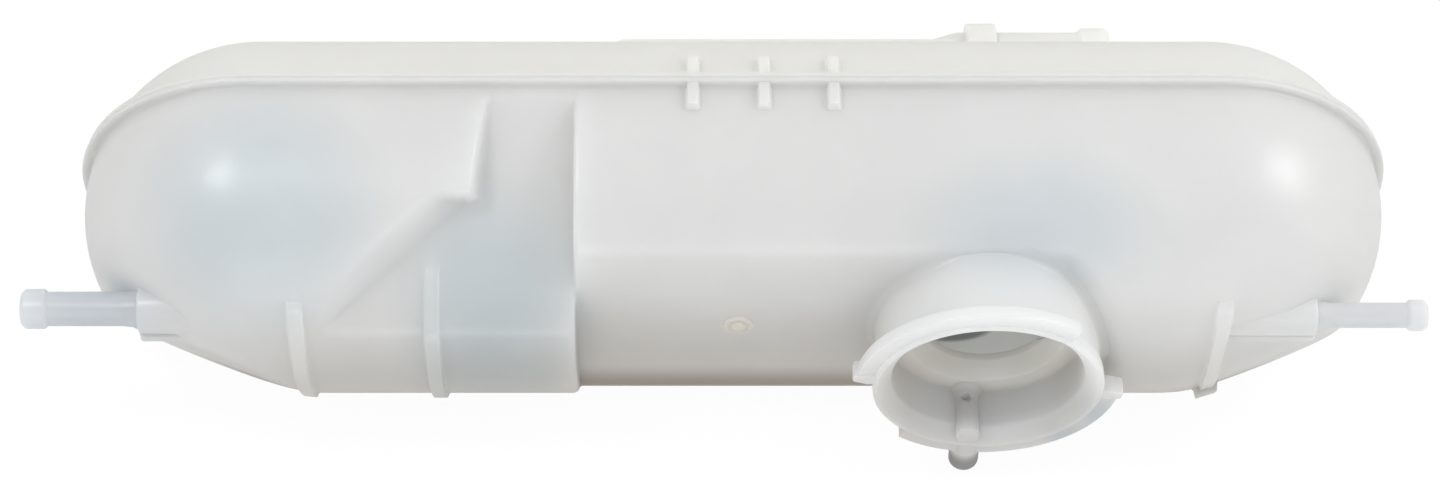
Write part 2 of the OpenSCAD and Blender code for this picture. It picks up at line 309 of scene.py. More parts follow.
@dataclass(frozen=True)
class TankForm:
    """The tank's form as a field that is negative inside, with every crease softly rounded."""

    barrel_r: float = 47.0
    straight_half: float = 126.0
    back_drop: float = 42.0
    wall: float = 2.6
    weld_y: float = 12.0
    crown_y: float = 36.2
    crown_r: float = 200.0
    step_x: float = -41.0
    crown_end: Cut = Cut(-45.0, 0.0, -37.8)
    recess_floor: Cut = Cut(0.0, 58.0, 35.5)
    recess_low: Cut = Cut(35.3, 5.3, -24.2)
    recess_ledge: Cut = Cut(0.0, -22.6, 2.8)
    recess_high: Cut = Cut(80.0, 28.0, -59.7)
    facets: tuple[Cut, ...] = (Cut(-21.0, -25.0, 85.0), Cut(21.0, -25.0, 87.0), Cut(8.0, -4.8, 59.4))
    facet_edge: float = 2.5
    back_edge: float = 5.0
    crown_edge: float = 2.0
    recess_edge: float = 1.4
    step_edge: float = 1.6
    reach_margin: float = 4.0
    halvings: int = 28

    def field(self, points: Array, grow: float) -> Array:
        """Signed distance-like field of the form grown by a length.

        Starts from the distance to the capsule, takes the rounded larger of it and each flat cut, then of
        it and the two hollows. A hollow is where all its own cuts are passed, so it is their smaller.

        Args:
            points: Places, shape (..., 3).
            grow: Growth outwards; the flat back only shrinks.

        Returns:
            The field, negative inside.
        """
        x, y, z = points[..., 0], points[..., 1], points[..., 2]
        past_end = np.maximum(np.abs(x) - self.straight_half, 0.0)
        solid = np.sqrt(past_end**2 + y**2 + z**2) - (self.barrel_r + grow)
        for facet in self.facets:
            solid = smooth_max(solid, facet.beyond(points, grow), self.facet_edge)
        solid = smooth_max(solid, -z - (self.back_drop + min(grow, 0.0)), self.back_edge)
        over_crown = np.hypot(y - (self.crown_r - self.crown_y), z) - (self.crown_r + grow)
        over_crown = np.where(y < 0, over_crown, -self.barrel_r)
        crown = smooth_min(over_crown, self.crown_end.beyond(points, grow), self.crown_edge)
        crown = smooth_min(crown, x - (self.step_x + grow), self.step_edge)
        solid = smooth_max(solid, crown, self.crown_edge)
        low, ledge = self.recess_low.beyond(points, grow), self.recess_ledge.beyond(points, grow)
        side = smooth_min(low, ledge, self.recess_edge)
        side = smooth_max(side, self.recess_high.beyond(points, grow), self.recess_edge)
        recess = smooth_min(self.recess_floor.beyond(points, grow), side, self.recess_edge)
        recess = smooth_min(recess, self.step_x - x - grow, self.step_edge)
        return smooth_max(solid, recess, self.recess_edge)

    def reach(self, origins: Array, headings: Array, grow: float) -> Array:
        """Distance along each ray to where it leaves the form, found by halving a bracket.

        Args:
            origins: Starts of the rays, inside the form, shape (..., 3).
            headings: Unit directions, same shape.
            grow: Growth of the form.

        Returns:
            Distances, shape (...).
        """
        near = np.zeros(np.broadcast_shapes(origins.shape, headings.shape)[:-1])
        far = np.full_like(near, self.barrel_r + max(grow, 0.0) + self.reach_margin)
        for _ in range(self.halvings):
            middle = (near + far) / 2
            outside = self.field(origins + middle[..., None] * headings, grow) > 0
            near = np.where(outside, near, middle)
            far = np.where(outside, middle, far)
        return (near + far) / 2

    def depth(self, x: Array, z: Array) -> Array:
        """Distance of the crown's surface from the barrel's axis plane at places across it."""
        origins = np.stack([x, np.zeros_like(x), z], axis=-1)
        return self.reach(origins, np.broadcast_to([0.0, -1.0, 0.0], origins.shape), 0.0)

    def height(self, x: Array, y: Array) -> Array:
        """Height of the upper side's surface over the barrel's axis at places across it."""
        origins = np.stack([x, y, np.zeros_like(x)], axis=-1)
        return self.reach(origins, np.broadcast_to([0.0, 0.0, 1.0], origins.shape), 0.0)

    def end_x(self, y: float, z: float) -> float:
        """Distance along the barrel at which a line beside its axis leaves the round end."""
        return self.straight_half + math.sqrt(self.barrel_r**2 - y**2 - z**2)


@dataclass(frozen=True)
class Outline:
    """Stations round the weld line: a straight side, a half turn, the other side and a half turn.

    Each station has a foot on the barrel's axis line and a level heading away from it. The stations
    stand closer where the hollows end in steps.
    """

    form: TankForm
    side_steps: int = 140
    end_steps: int = 72
    fine_steps: int = 24
    fine_spans: tuple[tuple[float, float], ...] = ((-43.0, -38.8), (-70.0, -62.0))

    def places(self) -> Array:
        """Places of the feet along one straight side, even except for the fine spans.

        Returns:
            Values of X in rising order.
        """
        half = self.form.straight_half
        along = np.linspace(-half, half, self.side_steps)
        for start, stop in self.fine_spans:
            outside = along[(along < start) | (along > stop)]
            along = np.concatenate([outside, np.linspace(start, stop, self.fine_steps)])
        return np.sort(along)

    def stations(self) -> tuple[Array, Array]:
        """Feet on the axis line and headings of all stations.

        Returns:
            Two arrays of shape (stations, 3).
        """
        half, along = self.form.straight_half, self.places()
        turn = np.linspace(0, math.pi, self.end_steps + 2)[1:-1]
        foot_x = np.concatenate([along, np.full_like(turn, half), along[::-1], np.full_like(turn, -half)])
        angle = np.concatenate([np.zeros_like(along), turn, np.full_like(along, math.pi), math.pi + turn])
        feet = np.stack([foot_x, np.zeros_like(foot_x), np.zeros_like(foot_x)], axis=1)
        headings = np.stack([np.sin(angle), np.zeros_like(angle), np.cos(angle)], axis=1)
        return feet, headings


@dataclass(frozen=True)
class Shell:
    """One half of the tank's wall with its share of the weld flange, as one closed surface.

    The half lies on the side of the weld plane that `sign` names: -1 towards the crown, 1 away from it.
    """

    form: TankForm
    sign: float
    rows: int = 84
    inner_rows: int = 44
    flange_t: float = 1.8
    flange_proud: float = 3.0
    flange_fillet: float = 1.2
    flange_edge: float = 0.55
    seam_groove: float = 0.3
    seam_gap: float = 0.02
    cavity_past: float = 1.0

    def flange_profile(self) -> Array:
        """Section of the flange, from the wall out and round its rim, with a groove at the weld.

        Returns:
            Points (growth of the form, distance from the weld plane).
        """
        fillet, edge, groove = self.flange_fillet, self.flange_edge, self.seam_groove
        hollow = arc((fillet, self.flange_t + fillet), fillet, 180, 270, 7)
        rim = arc((self.flange_proud - edge, self.flange_t - edge), edge, 90, 0, 6)
        lip = np.array([(self.flange_proud, groove), (self.flange_proud - groove, self.seam_gap)])
        return np.concatenate([hollow, rim, lip])

    def level_ring(self, feet: Array, headings: Array, y: float, grow: float) -> Array:
        """The outline of the form grown by a length, on one level of Y."""
        starts = feet + np.array([0.0, y, 0.0])
        return starts + self.form.reach(starts, headings, grow)[:, None] * headings

    def dome(self, feet: Array, headings: Array, first: Array, grow: float, rows: int) -> Array:
        """Rings from a first ring near the weld to the ridge of the half, along rays from the axis line.

        The angle of the rays from the level runs evenly from the first ring's own to a right angle.

        Args:
            feet: Feet of the stations, shape (stations, 3).
            headings: Level headings of the stations, same shape.
            first: The first ring, same shape.
            grow: Growth of the form.
            rows: Number of rings.

        Returns:
            Places, shape (rows, stations, 3), without the first ring.
        """
        level = np.einsum("ij,ij->i", first - feet, headings)
        start = np.arctan2(self.sign * first[:, 1], level)
        share = np.linspace(0, 1, rows + 1)[1:, None]
        angle = start + (math.pi / 2 - start) * share
        up = np.array([0.0, self.sign, 0.0])
        rays = np.cos(angle)[..., None] * headings + np.sin(angle)[..., None] * up
        return feet + self.form.reach(np.broadcast_to(feet, rays.shape), rays, grow)[..., None] * rays

    def outside(self) -> Mesh:
        """The solid half: weld face, rim of the flange, flange, wall and ridge as one run of rings.

        Returns:
            The closed mesh.
        """
        feet, headings = Outline(self.form).stations()
        flange = np.array([
            self.level_ring(feet, headings, self.form.weld_y + self.sign * away, grow)
            for grow, away in self.flange_profile()[::-1]
        ])
        outer = self.dome(feet, headings, flange[-1], 0.0, self.rows)
        return loft(np.concatenate([flange, outer]), last_cap=False)

    def cavity(self) -> Mesh:
        """The space inside the half, from past the weld plane to the ridge, on a coarser outline.

        Returns:
            The closed mesh.
        """
        feet, headings = Outline(self.form, side_steps=84, end_steps=48, fine_steps=9).stations()
        first = self.level_ring(feet, headings, self.form.weld_y, -self.form.wall)
        past = first - np.array([0.0, self.sign * self.cavity_past, 0.0])
        inner = self.dome(feet, headings, first, -self.form.wall, self.inner_rows)
        return loft(np.concatenate([past[None], first[None], inner]), last_cap=False)


class Side(Enum):
    """Sides of the tank on which ribs stand: the crown, and the upper side over the weld."""

    CROWN = "crown"
    TOP = "top"


@dataclass(frozen=True)
class Rib:
    """A low rib that follows the wall, with drafted sides, round shoulders and sloping ends.

    It stands at one place along the barrel and runs across it: along Z on the crown, along Y on top.
    """

    form: TankForm
    side: Side
    x: float
    start: float
    stop: float
    width: float = 4.0
    height: float = 1.5
    end_run: float = 0.8
    end_share: float = 0.02
    sink: float = 1.4
    draft: float = 0.25
    flare: float = 0.5
    steps: int = 40

    def profile(self) -> Array:
        """Section across the rib, from under the wall over its top and back, as a closed loop.

        Returns:
            Points (place beside the middle line, share of the height), -1 under the wall.
        """
        half, knee = self.width / 2, 0.25
        foot, top = half + self.flare, half - self.draft
        left = [(-foot, -1.0, 0), (-foot, 0.0, 0), (-half, knee, 0.3), (-top, 1.0, 0.4)]
        right = [(-across, share, radius) for across, share, radius in reversed(left)]
        return rounded(left + right)

    def mesh(self) -> Mesh:
        """Rings of the section laid on the wall along the rib, its height easing in at both ends.

        Returns:
            The closed mesh.
        """
        profile = self.profile()
        run = np.linspace(0, 1, self.steps)
        edge = self.end_run / abs(self.stop - self.start)
        share = ease(np.minimum(run, 1 - run) / edge) * (1 - self.end_share) + self.end_share
        place = self.start + (self.stop - self.start) * run
        beside = np.broadcast_to(self.x + profile[:, 0], (self.steps, len(profile)))
        along = np.broadcast_to(place[:, None], beside.shape)
        above = np.maximum(profile[:, 1], 0) * self.height * share[:, None]
        lift = np.where(profile[:, 1] < 0, -self.sink, above)
        if self.side is Side.CROWN:
            return loft(np.stack([beside, -(self.form.depth(beside, along) + lift), along], axis=-1))
        return loft(np.stack([beside, along, self.form.height(beside, along) + lift], axis=-1))


@dataclass(frozen=True)
class FillerNeck:
    """Neck with a filleted foot, a rim with a sloping face, a seat with its throat, ramps and stop lugs."""

    form: TankForm
    x: float = 66.0
    z: float = 4.0
    reach: float = 56.0
    outer_r: float = 29.25
    mouth_r: float = 25.0
    rim_r: float = 30.0
    rim_t: float = 3.6
    rim_flat: float = 1.2
    lip_depth: float = 3.6
    seat_depth: float = 14.6
    seat_t: float = 2.5
    seat_r: float = 20.0
    seat_fall: float = 4.0
    throat_r: float = 16.0
    foot: float = 2.6
    sink: float = 2.0
    cut_start: float = 27.0
    ramp_r: float = 34.4
    ramp_t: float = 3.4
    ramp_step: float = 0.4
    ramp_sweep: float = 125.0
    lug_r: float = 35.4
    lug_w: float = 4.4
    lug_turn: float = 7.0
    lug_depth: float = 0.4
    lug_len: float = 5.0
    bite: float = 1.2
    columns: int = 168

    @property
    def seat(self) -> float:
        """Distance of the seat from the barrel's axis plane."""
        return self.reach - self.seat_depth

    def around(self, radius: Array, depth: Array, angle: Array) -> Array:
        """Places round the neck: x + r cos(angle), minus the depth, z + r sin(angle).

        Args:
            radius: Distances from the neck's axis.
            depth: Distances from the barrel's axis plane, out of the neck.
            angle: Angles from +X towards +Z, in radians.

        Returns:
            Places, shape (..., 3).
        """
        return np.stack([
            self.x + radius * np.cos(angle),
            -np.broadcast_to(depth, np.broadcast_shapes(np.shape(radius), np.shape(angle))),
            self.z + radius * np.sin(angle),
        ], axis=-1)

    def tube(self) -> Mesh:
        """Solid outside of the neck: its foot follows the crown all round, then the profile is turned.

        Returns:
            The closed mesh.
        """
        angle = np.linspace(0, 2 * math.pi, self.columns, endpoint=False)
        wide = self.outer_r + self.foot
        ground = self.form.depth(self.x + wide * np.cos(angle), self.z + wide * np.sin(angle))
        fillet = arc((wide, self.foot), self.foot, 270, 180, 8)
        low = np.array([(0.0, -self.sink), (wide, -self.sink), *fillet])
        rim = self.reach - self.rim_t
        under = rim - (self.rim_r - self.outer_r)
        high = rounded([
            (self.outer_r, under - 1.5, 0), (self.outer_r, under, 0.8), (self.rim_r, rim, 0.5),
            (self.rim_r, self.reach, 0.7), (0.0, self.reach, 0),
        ])
        lower = [self.around(np.full_like(angle, r), ground + h, angle) for r, h in low]
        lower[0][:] = lower[0].mean(axis=0)
        upper = [self.around(np.full_like(angle, r), np.full_like(angle, h), angle) for r, h in high]
        return loft(np.array(lower + upper))

    def inside(self) -> Mesh:
        """Space that the neck leaves open: skirt, throat, sloping seat, mouth and the rim's sloping face.

        Returns:
            The closed mesh, turned about the neck's axis.
        """
        skirt, throat = self.outer_r - self.form.wall, self.seat - self.seat_fall
        lip, past = self.rim_r - self.rim_flat, self.reach + PAST
        profile = rounded([
            (0.0, self.cut_start, 0), (skirt, self.cut_start, 0), (skirt, self.seat - self.seat_t, 0.6),
            (self.seat_r, self.seat - self.seat_t, 0.6), (self.throat_r, throat - self.seat_t, 0.4),
            (self.throat_r, throat, 0.8), (self.seat_r, self.seat, 0.9), (self.mouth_r, self.seat, 0.6),
            (self.mouth_r, self.reach - self.lip_depth, 1.4), (lip, self.reach, 0), (lip, past, 0),
            (0.0, past, 0),
        ])
        return turned(profile, (self.x, 0.0, self.z), Axis.OUT_OF_NECK, self.columns)

    def sector(self, start: float, sweep: float, radius: float, top: float, length: float) -> Mesh:
        """A block round the neck that spans an angle, with rounded outer edges and short sloping ends.

        Args:
            start: First angle, in degrees.
            sweep: Angle that the block spans, in degrees.
            radius: Its outer radius.
            top: Distance of its front from the barrel's axis plane.
            length: Its length along the neck.

        Returns:
            The closed mesh.
        """
        inner, end_run, end_share = self.outer_r - self.bite, 1.2, 0.55
        back = top - length
        loop = rounded([(inner, back, 0), (radius, back, 0.6), (radius, top, 0.6), (inner, top, 0)])
        run = np.linspace(0, 1, max(16, int(sweep / 2)))
        slope = min(end_run / max(math.radians(sweep) * radius, TINY), 0.5)
        share = ease(np.minimum(run, 1 - run) / slope) * (1 - end_share) + end_share
        angle = np.radians(start + sweep * run)
        radii = inner + (loop[:, 0] - inner) * share[:, None]
        depth = np.broadcast_to(loop[:, 1], radii.shape)
        return loft(self.around(radii, depth, np.broadcast_to(angle[:, None], radii.shape)))

    def fittings(self) -> list[Mesh]:
        """Two opposite ramps, each with a stop lug at its end.

        Returns:
            Four closed meshes.
        """
        width = math.degrees(2 * math.asin(self.lug_w / 2 / self.lug_r))
        top = self.reach - self.lug_depth
        made = []
        for turn in (-self.lug_turn, 180.0 - self.lug_turn):
            made.append(self.sector(turn - width / 2, width, self.lug_r, top, self.lug_len))
            ramp_top, first = top - self.ramp_step, turn - self.ramp_sweep
            made.append(self.sector(first, self.ramp_sweep, self.ramp_r, ramp_top, self.ramp_t))
        return made


@dataclass(frozen=True)
class Overflow:
    """Nipple under the rim with its collar, and the half round boss that leads to it in the mouth."""

    neck: FillerNeck
    shift: float = -4.0
    depth: float = 5.0
    nipple_r: float = 4.0
    bore_r: float = 2.2
    bore_rise: float = 0.4
    collar_r: float = 4.8
    collar_show: float = 1.0
    clear: float = 1.5
    boss_r: float = 3.1
    boss_foot_r: float = 4.6
    boss_spread: float = 5.0
    boss_edge: float = 0.8
    sink: float = 0.6
    port_r: float = 1.4
    port_rise: float = 4.0
    port_past: float = 1.0

    @property
    def boss_z(self) -> float:
        """Height of the boss's axis, on the mouth's wall, over the barrel's axis."""
        return self.neck.z - math.sqrt(self.neck.mouth_r**2 - self.shift**2)

    @property
    def tip_z(self) -> float:
        """Height of the nipple's tip, a little clear of the flat back's level."""
        return self.clear - self.neck.form.back_drop

    def place(self, z: float) -> Triple:
        """A point on the nipple's axis at a height."""
        return self.neck.x + self.shift, self.depth - self.neck.reach, z

    def nipple(self) -> Mesh:
        """Turned nipple with a round tip edge, and the collar at its root.

        Returns:
            The closed mesh.
        """
        top = self.neck.z - self.neck.mouth_r / 2
        collar = top - (self.neck.z - self.neck.ramp_r - self.collar_show)
        tip = top - self.tip_z
        profile = rounded([
            (0.0, 0.0, 0), (self.collar_r, 0.0, 0), (self.collar_r, collar, 0.4),
            (self.nipple_r, collar, 0.3), (self.nipple_r, tip, 0.7), (0.0, tip, 0),
        ])
        return turned(profile, self.place(top), Axis.DOWN, 56)

    def way(self) -> list[Mesh]:
        """The overflow's way: in at a port near the seat, along inside the boss and out of the nipple.

        Returns:
            Three rods: the nipple's bore, the port and the passage along the boss.
        """
        x, y, top = self.place(self.boss_z + self.bore_rise)
        port_y, port_h = self.neck.seat + self.port_rise, self.boss_foot_r + self.port_past
        bore = rod(self.bore_r, 0.0, top - self.tip_z + PAST)
        port, along = rod(self.port_r, 0.0, port_h), rod(self.port_r, port_y, -y)
        return [
            turned(bore, (x, y, top), Axis.DOWN, 40),
            turned(port, (x, -port_y, self.boss_z + port_h), Axis.DOWN, 32),
            turned(along, (x, 0.0, self.boss_z), Axis.OUT_OF_NECK, 32),
        ]

    def boss(self) -> Mesh:
        """Rib with a half round front along the mouth's wall, from the seat, where it spreads, to the rim.

        Each ring is a half circle about the boss's axis, closed by an arc inside the neck's wall. Its
        radius falls from the foot's as (1 - t)^2, and draws in over the last stretch as a quarter circle.

        Returns:
            The closed mesh.
        """
        neck, sink, spread, edge = self.neck, self.sink, self.boss_spread, self.boss_edge
        top = neck.seat_depth - neck.lug_depth
        lift = np.concatenate([np.linspace(-sink, spread, 9), top - edge * (1 - np.linspace(0, 1, 6))])
        risen = np.clip((lift + sink) / (spread + sink), 0, 1)
        near = np.clip((lift - (top - edge)) / edge, 0, 1)
        radius = self.boss_r + (self.boss_foot_r - self.boss_r) * (1 - risen) ** 2
        radius = (radius - edge * (1 - np.sqrt(1 - near**2)))[:, None]
        front, back = np.linspace(0, math.pi, 17), np.linspace(-1, 1, 9)
        across = np.concatenate([radius * np.cos(front), radius * back], axis=1) + self.shift
        wall = neck.outer_r - neck.form.wall / 4
        rise = np.concatenate([
            self.boss_z - neck.z + radius * np.sin(front),
            -np.sqrt(wall**2 - across[:, len(front):] ** 2),
        ], axis=1)
        depth = np.broadcast_to(neck.seat + lift[:, None], across.shape)
        return loft(np.stack([neck.x + across, -depth, neck.z + rise], axis=-1))


@dataclass(frozen=True)
class VentPort:
    """Hose stub with a bead on a round end, with a root boss and a gusset towards the crown."""

    form: TankForm
    end: float
    y: float
    z: float
    stub_r: float
    bore_r: float
    bead_r: float
    bead_len: float
    length: float
    root_extra: float = 2.0
    root_len: float = 0.8
    collar: float = 0.5
    collar_len: float = 4.0
    bevel: float = 0.5
    gusset_t: float = 2.4
    gusset_edge: float = 0.6
    gusset_back: float = 1.0
    gusset_taper: float = 0.9

    @property
    def wall_x(self) -> float:
        """Distance along the barrel at which the port's axis leaves the round end."""
        return self.form.end_x(self.y, self.z)

    @property
    def root_r(self) -> float:
        """Radius of the root boss."""
        return self.stub_r + self.root_extra

    def along(self, profile: Array) -> Mesh:
        """Turns a profile about the port's axis, mirrored to the tank's other end where it is there.

        Args:
            profile: Points (radius, distance along the barrel).

        Returns:
            The closed mesh.
        """
        made = turned(profile, (0.0, -self.y, self.z), Axis.ALONG, 56)
        made.points[:, 0] *= self.end
        return made

    def outside(self) -> Mesh:
        """Stub, bead and root boss in one profile of radius along X.

        Returns:
            The closed mesh.
        """
        half, face = self.form.straight_half, self.wall_x + self.root_len
        return self.along(rounded([
            (0.0, half, 0), (self.root_r, half, 0), (self.root_r, face, 0.6),
            (self.stub_r + self.collar, face, 0.5), (self.stub_r, face + self.collar_len, 2.0),
            *beaded_end(self.stub_r, self.bead_r, self.bead_len, self.wall_x + self.length),
        ]))

    def bore(self) -> Mesh:
        """The port's passage, with a small bevel at its mouth."""
        tip = self.wall_x + self.length
        return self.along(passage(self.bore_r, self.form.straight_half, tip, self.bevel))

    def gusset(self) -> Mesh:
        """Flat web under the root boss towards the crown, with rounded edges.

        Returns:
            The closed mesh: the web's section at three stations, a little smaller at the last.
        """
        low, deep = self.z - self.root_r, self.root_r + self.gusset_edge
        high = low + self.gusset_t
        loop = rounded([(0.0, low, 0), (deep, low, 0.5), (deep, high, 0.5), (0.0, high, 0)], 4)
        face = self.wall_x + self.root_len
        stations = np.array([self.form.straight_half, face - self.gusset_edge, face])[:, None]
        shrink = np.array([1.0, 1.0, self.gusset_taper])[:, None]
        shape = (len(stations), len(loop))
        return loft(np.stack([
            np.broadcast_to(stations * self.end, shape),
            self.gusset_back - self.y - loop[:, 0] * shrink,
            np.broadcast_to(loop[:, 1], shape),
        ], axis=-1))


@dataclass(frozen=True)
class GateMark:
    """Round mark on the crown where the plastic was fed: a low disc with a raised lip and a stub."""

    form: TankForm
    x: float = 1.3
    z: float = 4.0
    radius: float = 3.8
    height: float = 0.7
    lip: float = 0.7
    draft: float = 0.3
    dish: float = 0.35
    stub_r: float = 1.6
    stub_h: float = 0.5
    sink: float = 1.4

    def mesh(self) -> Mesh:
        """Turned profile of the disc, its lip, the dish inside it and the stub.

        Returns:
            The closed mesh.
        """
        ground, top = self.form.crown_y - self.sink, self.form.crown_y + self.height
        low, high, inner = top - self.dish, top + self.stub_h, self.radius - self.lip
        profile = rounded([
            (0.0, ground, 0), (self.radius + self.draft, ground, 0), (self.radius, top, 0.3),
            (inner, top, 0.3), (inner - 0.4, low, 0.2), (self.stub_r + 0.2, low, 0.2),
            (self.stub_r, high, 0.3), (0.0, high, 0),
        ])
        return turned(profile, (self.x, 0.0, self.z), Axis.OUT_OF_NECK, 56)


@dataclass(frozen=True)
class Sump:
    """Block behind the barrel that collects the coolant, with the outlet tube at its end."""

    form: TankForm
    start_x: float = -34.0
    end_x: float = 65.0
    reach: float = 62.7
    top: float = -2.7
    height: float = 22.0
    corner_r: float = 4.0
    outlet_y: float = 59.9
    outlet_z: float = -14.2
    outlet_r: float = 9.5
    bore_r: float = 7.5
    bore_bevel: float = 0.6
    bore_past: float = 1.0
    bead_r: float = 10.7
    bead_len: float = 9.0
    length: float = 40.0
    collar_r: float = 12.0
    collar_len: float = 8.4
    cone_len: float = 16.0

    def block(self, inset: float) -> Mesh:
        """Rings of a rectangle with round corners along X, drawn in at both ends by a quarter circle.

        At a place nearer to an end than the corner radius, each ring shrinks by that radius less the
        circle's height there.

        Args:
            inset: How far the block is drawn in all round; the wall for its inside.

        Returns:
            The closed mesh.
        """
        radius = self.corner_r - inset / 2
        inward = radius * (1 - np.cos(np.linspace(0, math.pi / 2, 8)))
        shrink = radius - np.sqrt(np.maximum(radius**2 - (radius - inward) ** 2, 0.0))
        near, far = self.start_x + inset, self.end_x - inset
        places = np.concatenate([near + inward, (far - inward)[::-1]])
        shrinks = np.concatenate([shrink, shrink[::-1]])
        rings = []
        for place, less in zip(places, shrinks):
            low, high = self.top - self.height + inset + less, self.top - inset - less
            out = self.reach - inset - less
            loop = rounded([(0.0, low, 0), (out, low, radius), (out, high, radius), (0.0, high, 0)], 9)
            rings.append(np.column_stack([np.full(len(loop), place), loop]))
        return loft(np.array(rings))

    def turn(self, profile: Array, columns: int) -> Mesh:
        """Turns a profile of radius along X about the outlet's axis."""
        return turned(profile, (0.0, self.outlet_y, self.outlet_z), Axis.ALONG, columns)

    def outlet(self) -> Mesh:
        """Cone, collar, tube and bead in one profile of radius along X.

        Returns:
            The closed mesh.
        """
        inner, collar = self.end_x - self.form.wall, self.end_x + self.collar_len
        return self.turn(rounded([
            (0.0, inner - self.cone_len, 0), (self.outlet_r / 2, inner - self.cone_len, 0.5),
            (self.outlet_r, inner, 3.0), (self.outlet_r, self.end_x, 0.3), (self.collar_r, self.end_x, 0.6),
            (self.collar_r, collar, 0.6), (self.outlet_r, collar, 0.5),
            *beaded_end(self.outlet_r, self.bead_r, self.bead_len, self.end_x + self.length),
        ]), 80)

    def bore(self) -> Mesh:
        """The outlet's passage from the sump to its mouth."""
        start, tip = self.end_x - self.form.wall - self.bore_past, self.end_x + self.length
        return self.turn(passage(self.bore_r, start, tip, self.bore_bevel), 64)


def carve(base: bpy.types.Object, adds: list[bpy.types.Object], cuts: list[bpy.types.Object]) -> None:
    """Fuses solids onto a solid and takes others off, then removes the tools.

    Args:
        base: The solid that stays, and gets a new mesh.
        adds: Solids that are fused to it, in order.
        cuts: Solids that are then taken off.
    """
    for operation, tools in (("UNION", adds), ("DIFFERENCE", cuts)):
        for tool in tools:
            step = base.modifiers.new(tool.name, "BOOLEAN")
            step.operation, step.solver, step.object = operation, "MANIFOLD", tool
    graph = bpy.context.evaluated_depsgraph_get()
    made = bpy.data.meshes.new_from_object(base.evaluated_get(graph))
    base.modifiers.clear()
    old, base.data = base.data, made
    made.name = base.name
    bpy.data.meshes.remove(old)
    for tool in adds + cuts:
        data = tool.data
        bpy.data.objects.remove(tool)
        bpy.data.meshes.remove(data)


@dataclass
class Tank:
    """The welded tank: it builds both halves and dresses them."""

    form: TankForm = field(default_factory=TankForm)
    strap_x: tuple[float, ...] = (-10.5, 8.0, 26.0)
    strap_reach: float = 10.0
    strap_width: float = 3.2
    strap_height: float = 2.4
    crown_rib_x: tuple[float, ...] = (-113.0, -78.0, 126.5)
    crown_rib_low: float = -27.0
    crown_rib_high: float = 23.0
    foot_length: float = 5.0
    foot_width: float = 6.0
    foot_height: float = 3.2
    smooth_angle: float = 38.0

    def ports(self) -> list[VentPort]:
        """The two vent ports, the left one thicker and longer than the right one.

        Returns:
            The ports.
        """
        return [
            VentPort(
                self.form, end=-1.0, y=36.2, z=11.6,
                stub_r=4.5, bore_r=2.7, bead_r=5.2, bead_len=6.7, length=31.3,
            ),
            VentPort(
                self.form, end=1.0, y=38.4, z=12.0,
                stub_r=3.3, bore_r=1.9, bead_r=4.1, bead_len=5.4, length=29.7,
            ),
        ]

    def crown_ribs(self) -> list[Mesh]:
        """The ribs across the crown, and the foot at the low end of the last one.

        Returns:
            Closed meshes.
        """
        form, low, high = self.form, self.crown_rib_low, self.crown_rib_high
        ribs = [Rib(form, Side.CROWN, x, low, high) for x in self.crown_rib_x]
        foot_end, last = low + self.foot_length, self.crown_rib_x[-1]
        ribs.append(Rib(form, Side.CROWN, last, low, foot_end, self.foot_width, self.foot_height))
        return [rib.mesh() for rib in ribs]

    def straps(self, start: float, stop: float) -> list[Mesh]:
        """One half's share of the short ribs over the weld, between two distances from the weld plane.

        Args:
            start: Y of the first end, from the weld plane.
            stop: Y of the other end.

        Returns:
            Closed meshes.
        """
        low, high = self.form.weld_y + start, self.form.weld_y + stop
        size = (self.strap_width, self.strap_height)
        return [Rib(self.form, Side.TOP, x, low, high, *size).mesh() for x in self.strap_x]

    def shape(self, base: bpy.types.Object, adds: list[Mesh], cuts: list[Mesh]) -> None:
        """Fuses meshes onto a piece and takes others off."""
        solids = [[mesh.to_object("tool", self.form.back_drop) for mesh in some] for some in (adds, cuts)]
        carve(base, *solids)

    def dress(self, piece: bpy.types.Object, node: str, material: bpy.types.Material) -> None:
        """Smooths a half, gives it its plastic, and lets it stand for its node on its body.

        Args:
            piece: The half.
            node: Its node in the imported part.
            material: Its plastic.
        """
        data = piece.data
        data.polygons.foreach_set("use_smooth", np.ones(len(data.polygons), bool))
        data.set_sharp_from_angle(angle=math.radians(self.smooth_angle))
        data.materials.clear()
        data.materials.append(material)
        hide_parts(node)
        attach(piece, "root")

    def upper_half(self, material: bpy.types.Material) -> bpy.types.Object:
        """The deep half with its neck, overflow, vent ports, ribs and gate mark.

        Args:
            material: Its plastic.

        Returns:
            The finished piece.
        """
        shell = Shell(self.form, -1.0)
        neck = FillerNeck(self.form)
        overflow, ports = Overflow(neck), self.ports()
        adds = [*self.crown_ribs(), *self.straps(-self.strap_reach, -shell.seam_gap)]
        for port in ports:
            adds += [port.outside(), port.gusset()]
        adds += [GateMark(self.form).mesh(), neck.tube(), *neck.fittings(), overflow.nipple()]
        base = shell.outside().to_object("tank_upper_half", self.form.back_drop)
        self.shape(base, adds, [shell.cavity(), neck.inside()])
        self.shape(base, [overflow.boss()], [*(port.bore() for port in ports), *overflow.way()])
        self.dress(base, "upper_half", material)
        return base

    def lower_half(self, material: bpy.types.Material) -> bpy.types.Object:
        """The shallow half with its sump, outlet and short ribs.

        Args:
            material: Its plastic.

        Returns:
            The finished piece.
        """
        shell = Shell(self.form, 1.0, rows=60, inner_rows=36)
        sump = Sump(self.form)
        adds = [*self.straps(shell.seam_gap, self.strap_reach), sump.block(0.0), sump.outlet()]
        base = shell.outside().to_object("tank_lower_half", self.form.back_drop)
        self.shape(base, adds, [shell.cavity(), sump.block(self.form.wall), sump.bore()])
        self.dress(base, "lower_half", material)
        return base


